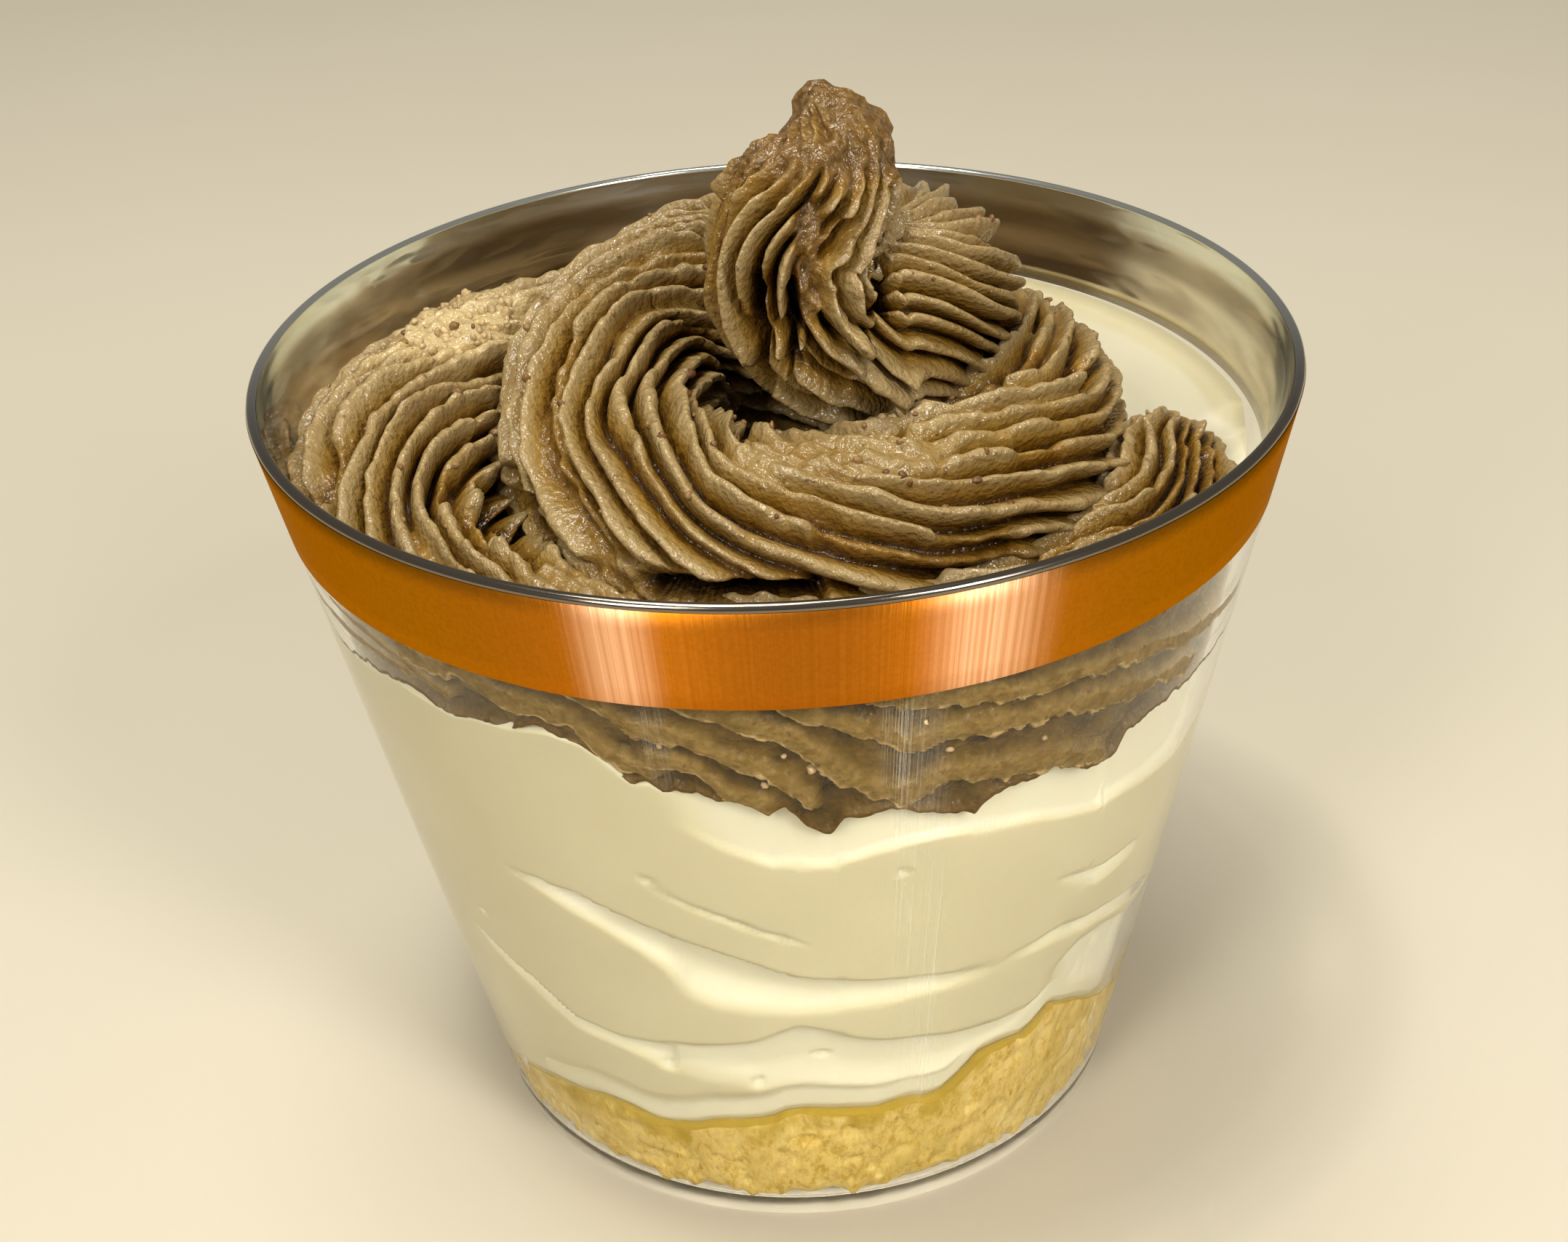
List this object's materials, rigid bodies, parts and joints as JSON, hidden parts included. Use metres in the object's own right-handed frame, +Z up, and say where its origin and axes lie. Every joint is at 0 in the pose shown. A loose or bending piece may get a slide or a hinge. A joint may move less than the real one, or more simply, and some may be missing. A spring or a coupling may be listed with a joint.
{
  "type": "mont blanc dessert cup",
  "caption": "Layered dessert in a clear tapered cup with a metallic rim band: sponge, whipped cream and a piped spiral of ridged chestnut cream rising to a peak.",
  "frame": {"origin": "middle of the base, on the surface the cup stands on", "axes": "+Z up along the cup's axis, +X to the right and -Y towards the viewer with the peak's curl in front"},
  "size_m": [0.0852, 0.0852, 0.0907],
  "materials": {
    "clear_cup": "clear glossy",
    "copper_foil": "satin metallic",
    "sponge_cake": "matte crumb",
    "whipped_cream": "soft satin",
    "chestnut_cream": "moist satin"
  },
  "bodies": {
    "root": {"cup": "clear_cup", "rim_band": "copper_foil", "sponge": "sponge_cake", "whipped_cream": "whipped_cream", "chestnut_cream": "chestnut_cream"}
  },
  "joints": []
}
